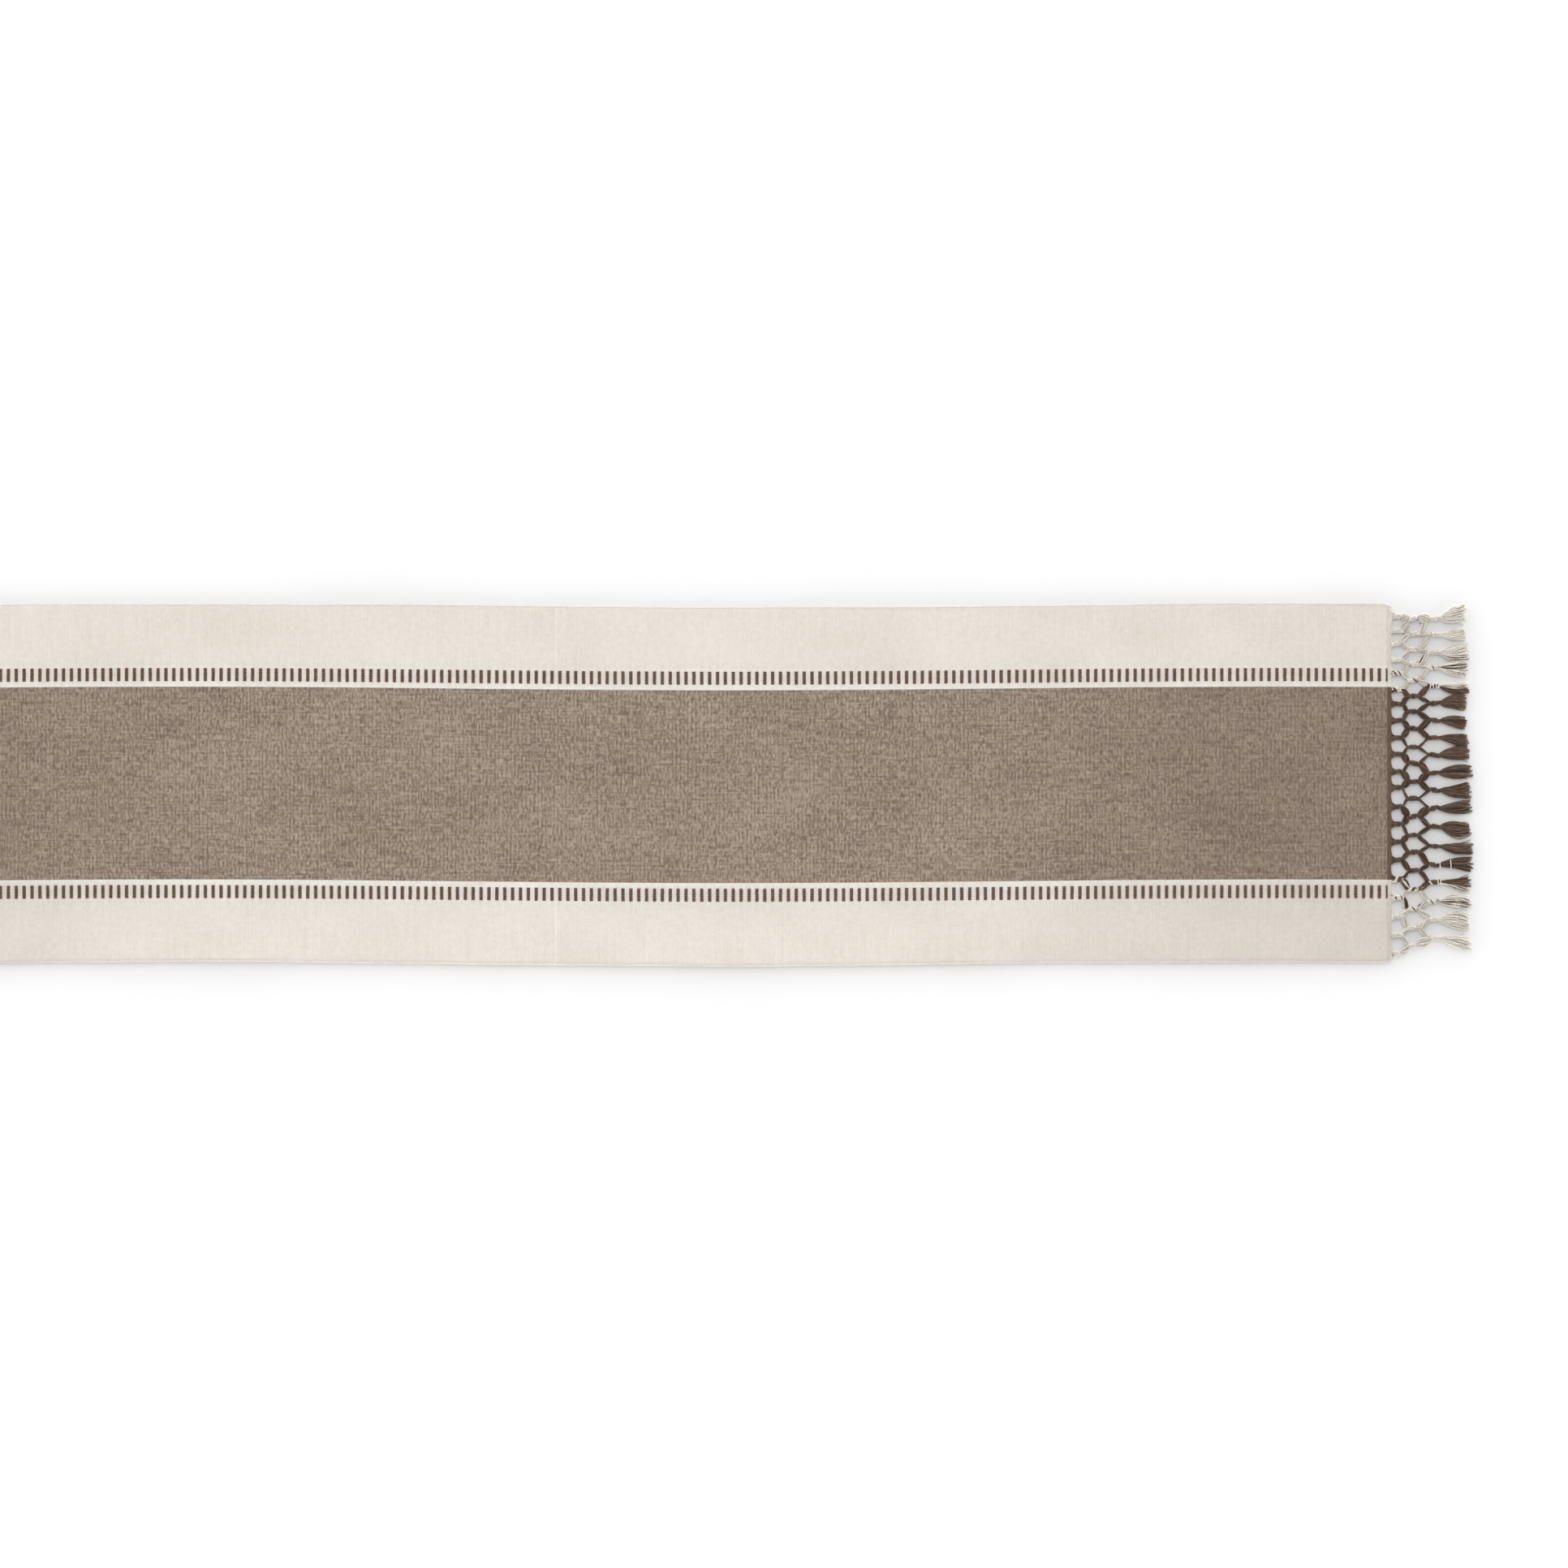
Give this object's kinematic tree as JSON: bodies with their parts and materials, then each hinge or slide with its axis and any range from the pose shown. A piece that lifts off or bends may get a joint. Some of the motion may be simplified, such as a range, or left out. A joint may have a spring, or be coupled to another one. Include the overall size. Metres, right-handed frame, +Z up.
{
  "type": "table runner",
  "caption": "Long hand-woven striped cloth with dashed edge stripes, laid flat, with a knotted net fringe and swinging tassels at each end.",
  "frame": {"origin": "middle of the runner's underside, on the table it lies on", "axes": "+X along the length, +Y across the width, +Z up from the table"},
  "size_m": [1.829, 0.3556, 0.0054],
  "materials": {
    "cream_cotton": "matt off-white cotton with fine crosswise ribs",
    "brown_cotton": "matt heathered brown and natural plain weave",
    "dashed_stripe": "cream ground with short dark brown warp floats in a row",
    "heading_yarn": "hard-beaten picks over gathered warp bundles",
    "fringe_yarn": "knotted cotton warp yarn, cream at the edges and dark brown in the middle",
    "cream_yarn": "loose soft cream cotton yarn",
    "mixed_yarn": "loose cream and brown cotton yarn together",
    "brown_yarn": "loose soft dark brown cotton yarn"
  },
  "bodies": {
    "middle": {"front_border_middle": "cream_cotton", "front_dash_stripe_middle": "dashed_stripe", "centre_band_middle": "brown_cotton", "back_dash_stripe_middle": "dashed_stripe", "back_border_middle": "cream_cotton"},
    "left_drop": {"front_border_left_drop": "cream_cotton", "front_dash_stripe_left_drop": "dashed_stripe", "centre_band_left_drop": "brown_cotton", "back_dash_stripe_left_drop": "dashed_stripe", "back_border_left_drop": "cream_cotton", "heading_left": "heading_yarn"},
    "left_fringe": {"left_knotted_net": "fringe_yarn"},
    "left_tassel_01": {"left_tassel_01": "cream_yarn"},
    "left_tassel_02": {"left_tassel_02": "cream_yarn"},
    "left_tassel_03": {"left_tassel_03": "cream_yarn"},
    "left_tassel_04": {"left_tassel_04": "mixed_yarn"},
    "left_tassel_05": {"left_tassel_05": "mixed_yarn"},
    "left_tassel_06": {"left_tassel_06": "brown_yarn"},
    "left_tassel_07": {"left_tassel_07": "brown_yarn"},
    "left_tassel_08": {"left_tassel_08": "brown_yarn"},
    "left_tassel_09": {"left_tassel_09": "brown_yarn"},
    "left_tassel_10": {"left_tassel_10": "brown_yarn"},
    "left_tassel_11": {"left_tassel_11": "brown_yarn"},
    "left_tassel_12": {"left_tassel_12": "brown_yarn"},
    "left_tassel_13": {"left_tassel_13": "brown_yarn"},
    "left_tassel_14": {"left_tassel_14": "brown_yarn"},
    "left_tassel_15": {"left_tassel_15": "brown_yarn"},
    "left_tassel_16": {"left_tassel_16": "mixed_yarn"},
    "left_tassel_17": {"left_tassel_17": "mixed_yarn"},
    "left_tassel_18": {"left_tassel_18": "cream_yarn"},
    "left_tassel_19": {"left_tassel_19": "cream_yarn"},
    "right_drop": {"front_border_right_drop": "cream_cotton", "front_dash_stripe_right_drop": "dashed_stripe", "centre_band_right_drop": "brown_cotton", "back_dash_stripe_right_drop": "dashed_stripe", "back_border_right_drop": "cream_cotton", "heading_right": "heading_yarn"},
    "right_fringe": {"right_knotted_net": "fringe_yarn"},
    "right_tassel_01": {"right_tassel_01": "cream_yarn"},
    "right_tassel_02": {"right_tassel_02": "cream_yarn"},
    "right_tassel_03": {"right_tassel_03": "mixed_yarn"},
    "right_tassel_04": {"right_tassel_04": "mixed_yarn"},
    "right_tassel_05": {"right_tassel_05": "brown_yarn"},
    "right_tassel_06": {"right_tassel_06": "brown_yarn"},
    "right_tassel_07": {"right_tassel_07": "brown_yarn"},
    "right_tassel_08": {"right_tassel_08": "brown_yarn"},
    "right_tassel_09": {"right_tassel_09": "brown_yarn"},
    "right_tassel_10": {"right_tassel_10": "brown_yarn"},
    "right_tassel_11": {"right_tassel_11": "brown_yarn"},
    "right_tassel_12": {"right_tassel_12": "brown_yarn"},
    "right_tassel_13": {"right_tassel_13": "brown_yarn"},
    "right_tassel_14": {"right_tassel_14": "brown_yarn"},
    "right_tassel_15": {"right_tassel_15": "mixed_yarn"},
    "right_tassel_16": {"right_tassel_16": "mixed_yarn"},
    "right_tassel_17": {"right_tassel_17": "cream_yarn"},
    "right_tassel_18": {"right_tassel_18": "cream_yarn"},
    "right_tassel_19": {"right_tassel_19": "cream_yarn"}
  },
  "joints": [
    {"name": "drop_fold_left", "type": "hinge", "parent": "middle", "child": "left_drop", "pos_m": [-0.7617, 0, 0.0019], "axis": [0, 1, 0], "range_deg": [-90, 172]},
    {"name": "fringe_fold_left", "type": "hinge", "parent": "left_drop", "child": "left_fringe", "pos_m": [-0.8339, 0, 0.0019], "axis": [0, -1, 0], "range_deg": [-120, 90]},
    {"name": "tassel_01_left_swing", "type": "hinge", "parent": "left_fringe", "child": "left_tassel_01", "pos_m": [-0.8839, -0.1656, 0.0024], "axis": [0, -1, 0], "range_deg": [-90, 90]},
    {"name": "tassel_02_left_swing", "type": "hinge", "parent": "left_fringe", "child": "left_tassel_02", "pos_m": [-0.8839, -0.14954, 0.0024], "axis": [0, -1, 0], "range_deg": [-90, 90]},
    {"name": "tassel_03_left_swing", "type": "hinge", "parent": "left_fringe", "child": "left_tassel_03", "pos_m": [-0.8839, -0.13308, 0.0024], "axis": [0, -1, 0], "range_deg": [-90, 90]},
    {"name": "tassel_04_left_swing", "type": "hinge", "parent": "left_fringe", "child": "left_tassel_04", "pos_m": [-0.8839, -0.11641, 0.0024], "axis": [0, -1, 0], "range_deg": [-90, 90]},
    {"name": "tassel_05_left_swing", "type": "hinge", "parent": "left_fringe", "child": "left_tassel_05", "pos_m": [-0.8839, -0.09956, 0.0024], "axis": [0, -1, 0], "range_deg": [-90, 90]},
    {"name": "tassel_06_left_swing", "type": "hinge", "parent": "left_fringe", "child": "left_tassel_06", "pos_m": [-0.8839, -0.08252, 0.0024], "axis": [0, -1, 0], "range_deg": [-90, 90]},
    {"name": "tassel_07_left_swing", "type": "hinge", "parent": "left_fringe", "child": "left_tassel_07", "pos_m": [-0.8839, -0.0653, 0.0024], "axis": [0, -1, 0], "range_deg": [-90, 90]},
    {"name": "tassel_08_left_swing", "type": "hinge", "parent": "left_fringe", "child": "left_tassel_08", "pos_m": [-0.8839, -0.04789, 0.0024], "axis": [0, -1, 0], "range_deg": [-90, 90]},
    {"name": "tassel_09_left_swing", "type": "hinge", "parent": "left_fringe", "child": "left_tassel_09", "pos_m": [-0.8839, -0.03031, 0.0024], "axis": [0, -1, 0], "range_deg": [-90, 90]},
    {"name": "tassel_10_left_swing", "type": "hinge", "parent": "left_fringe", "child": "left_tassel_10", "pos_m": [-0.8839, -0.01256, 0.0024], "axis": [0, -1, 0], "range_deg": [-90, 90]},
    {"name": "tassel_11_left_swing", "type": "hinge", "parent": "left_fringe", "child": "left_tassel_11", "pos_m": [-0.8839, 0.00534, 0.0024], "axis": [0, -1, 0], "range_deg": [-90, 90]},
    {"name": "tassel_12_left_swing", "type": "hinge", "parent": "left_fringe", "child": "left_tassel_12", "pos_m": [-0.8839, 0.0234, 0.0024], "axis": [0, -1, 0], "range_deg": [-90, 90]},
    {"name": "tassel_13_left_swing", "type": "hinge", "parent": "left_fringe", "child": "left_tassel_13", "pos_m": [-0.8839, 0.04158, 0.0024], "axis": [0, -1, 0], "range_deg": [-90, 90]},
    {"name": "tassel_14_left_swing", "type": "hinge", "parent": "left_fringe", "child": "left_tassel_14", "pos_m": [-0.8839, 0.05987, 0.0024], "axis": [0, -1, 0], "range_deg": [-90, 90]},
    {"name": "tassel_15_left_swing", "type": "hinge", "parent": "left_fringe", "child": "left_tassel_15", "pos_m": [-0.8839, 0.07825, 0.0024], "axis": [0, -1, 0], "range_deg": [-90, 90]},
    {"name": "tassel_16_left_swing", "type": "hinge", "parent": "left_fringe", "child": "left_tassel_16", "pos_m": [-0.8839, 0.0967, 0.0024], "axis": [0, -1, 0], "range_deg": [-90, 90]},
    {"name": "tassel_17_left_swing", "type": "hinge", "parent": "left_fringe", "child": "left_tassel_17", "pos_m": [-0.8839, 0.11521, 0.0024], "axis": [0, -1, 0], "range_deg": [-90, 90]},
    {"name": "tassel_18_left_swing", "type": "hinge", "parent": "left_fringe", "child": "left_tassel_18", "pos_m": [-0.8839, 0.13375, 0.0024], "axis": [0, -1, 0], "range_deg": [-90, 90]},
    {"name": "tassel_19_left_swing", "type": "hinge", "parent": "left_fringe", "child": "left_tassel_19", "pos_m": [-0.8839, 0.1523, 0.0024], "axis": [0, -1, 0], "range_deg": [-90, 90]},
    {"name": "drop_fold_right", "type": "hinge", "parent": "middle", "child": "right_drop", "pos_m": [0.7617, 0, 0.0019], "axis": [0, -1, 0], "range_deg": [-90, 172]},
    {"name": "fringe_fold_right", "type": "hinge", "parent": "right_drop", "child": "right_fringe", "pos_m": [0.8339, 0, 0.0019], "axis": [0, 1, 0], "range_deg": [-120, 90]},
    {"name": "tassel_01_right_swing", "type": "hinge", "parent": "right_fringe", "child": "right_tassel_01", "pos_m": [0.8839, -0.1523, 0.0024], "axis": [0, 1, 0], "range_deg": [-90, 90]},
    {"name": "tassel_02_right_swing", "type": "hinge", "parent": "right_fringe", "child": "right_tassel_02", "pos_m": [0.8839, -0.13375, 0.0024], "axis": [0, 1, 0], "range_deg": [-90, 90]},
    {"name": "tassel_03_right_swing", "type": "hinge", "parent": "right_fringe", "child": "right_tassel_03", "pos_m": [0.8839, -0.11521, 0.0024], "axis": [0, 1, 0], "range_deg": [-90, 90]},
    {"name": "tassel_04_right_swing", "type": "hinge", "parent": "right_fringe", "child": "right_tassel_04", "pos_m": [0.8839, -0.0967, 0.0024], "axis": [0, 1, 0], "range_deg": [-90, 90]},
    {"name": "tassel_05_right_swing", "type": "hinge", "parent": "right_fringe", "child": "right_tassel_05", "pos_m": [0.8839, -0.07825, 0.0024], "axis": [0, 1, 0], "range_deg": [-90, 90]},
    {"name": "tassel_06_right_swing", "type": "hinge", "parent": "right_fringe", "child": "right_tassel_06", "pos_m": [0.8839, -0.05987, 0.0024], "axis": [0, 1, 0], "range_deg": [-90, 90]},
    {"name": "tassel_07_right_swing", "type": "hinge", "parent": "right_fringe", "child": "right_tassel_07", "pos_m": [0.8839, -0.04158, 0.0024], "axis": [0, 1, 0], "range_deg": [-90, 90]},
    {"name": "tassel_08_right_swing", "type": "hinge", "parent": "right_fringe", "child": "right_tassel_08", "pos_m": [0.8839, -0.0234, 0.0024], "axis": [0, 1, 0], "range_deg": [-90, 90]},
    {"name": "tassel_09_right_swing", "type": "hinge", "parent": "right_fringe", "child": "right_tassel_09", "pos_m": [0.8839, -0.00534, 0.0024], "axis": [0, 1, 0], "range_deg": [-90, 90]},
    {"name": "tassel_10_right_swing", "type": "hinge", "parent": "right_fringe", "child": "right_tassel_10", "pos_m": [0.8839, 0.01256, 0.0024], "axis": [0, 1, 0], "range_deg": [-90, 90]},
    {"name": "tassel_11_right_swing", "type": "hinge", "parent": "right_fringe", "child": "right_tassel_11", "pos_m": [0.8839, 0.03031, 0.0024], "axis": [0, 1, 0], "range_deg": [-90, 90]},
    {"name": "tassel_12_right_swing", "type": "hinge", "parent": "right_fringe", "child": "right_tassel_12", "pos_m": [0.8839, 0.04789, 0.0024], "axis": [0, 1, 0], "range_deg": [-90, 90]},
    {"name": "tassel_13_right_swing", "type": "hinge", "parent": "right_fringe", "child": "right_tassel_13", "pos_m": [0.8839, 0.0653, 0.0024], "axis": [0, 1, 0], "range_deg": [-90, 90]},
    {"name": "tassel_14_right_swing", "type": "hinge", "parent": "right_fringe", "child": "right_tassel_14", "pos_m": [0.8839, 0.08252, 0.0024], "axis": [0, 1, 0], "range_deg": [-90, 90]},
    {"name": "tassel_15_right_swing", "type": "hinge", "parent": "right_fringe", "child": "right_tassel_15", "pos_m": [0.8839, 0.09956, 0.0024], "axis": [0, 1, 0], "range_deg": [-90, 90]},
    {"name": "tassel_16_right_swing", "type": "hinge", "parent": "right_fringe", "child": "right_tassel_16", "pos_m": [0.8839, 0.11641, 0.0024], "axis": [0, 1, 0], "range_deg": [-90, 90]},
    {"name": "tassel_17_right_swing", "type": "hinge", "parent": "right_fringe", "child": "right_tassel_17", "pos_m": [0.8839, 0.13308, 0.0024], "axis": [0, 1, 0], "range_deg": [-90, 90]},
    {"name": "tassel_18_right_swing", "type": "hinge", "parent": "right_fringe", "child": "right_tassel_18", "pos_m": [0.8839, 0.14954, 0.0024], "axis": [0, 1, 0], "range_deg": [-90, 90]},
    {"name": "tassel_19_right_swing", "type": "hinge", "parent": "right_fringe", "child": "right_tassel_19", "pos_m": [0.8839, 0.1656, 0.0024], "axis": [0, 1, 0], "range_deg": [-90, 90]}
  ]
}
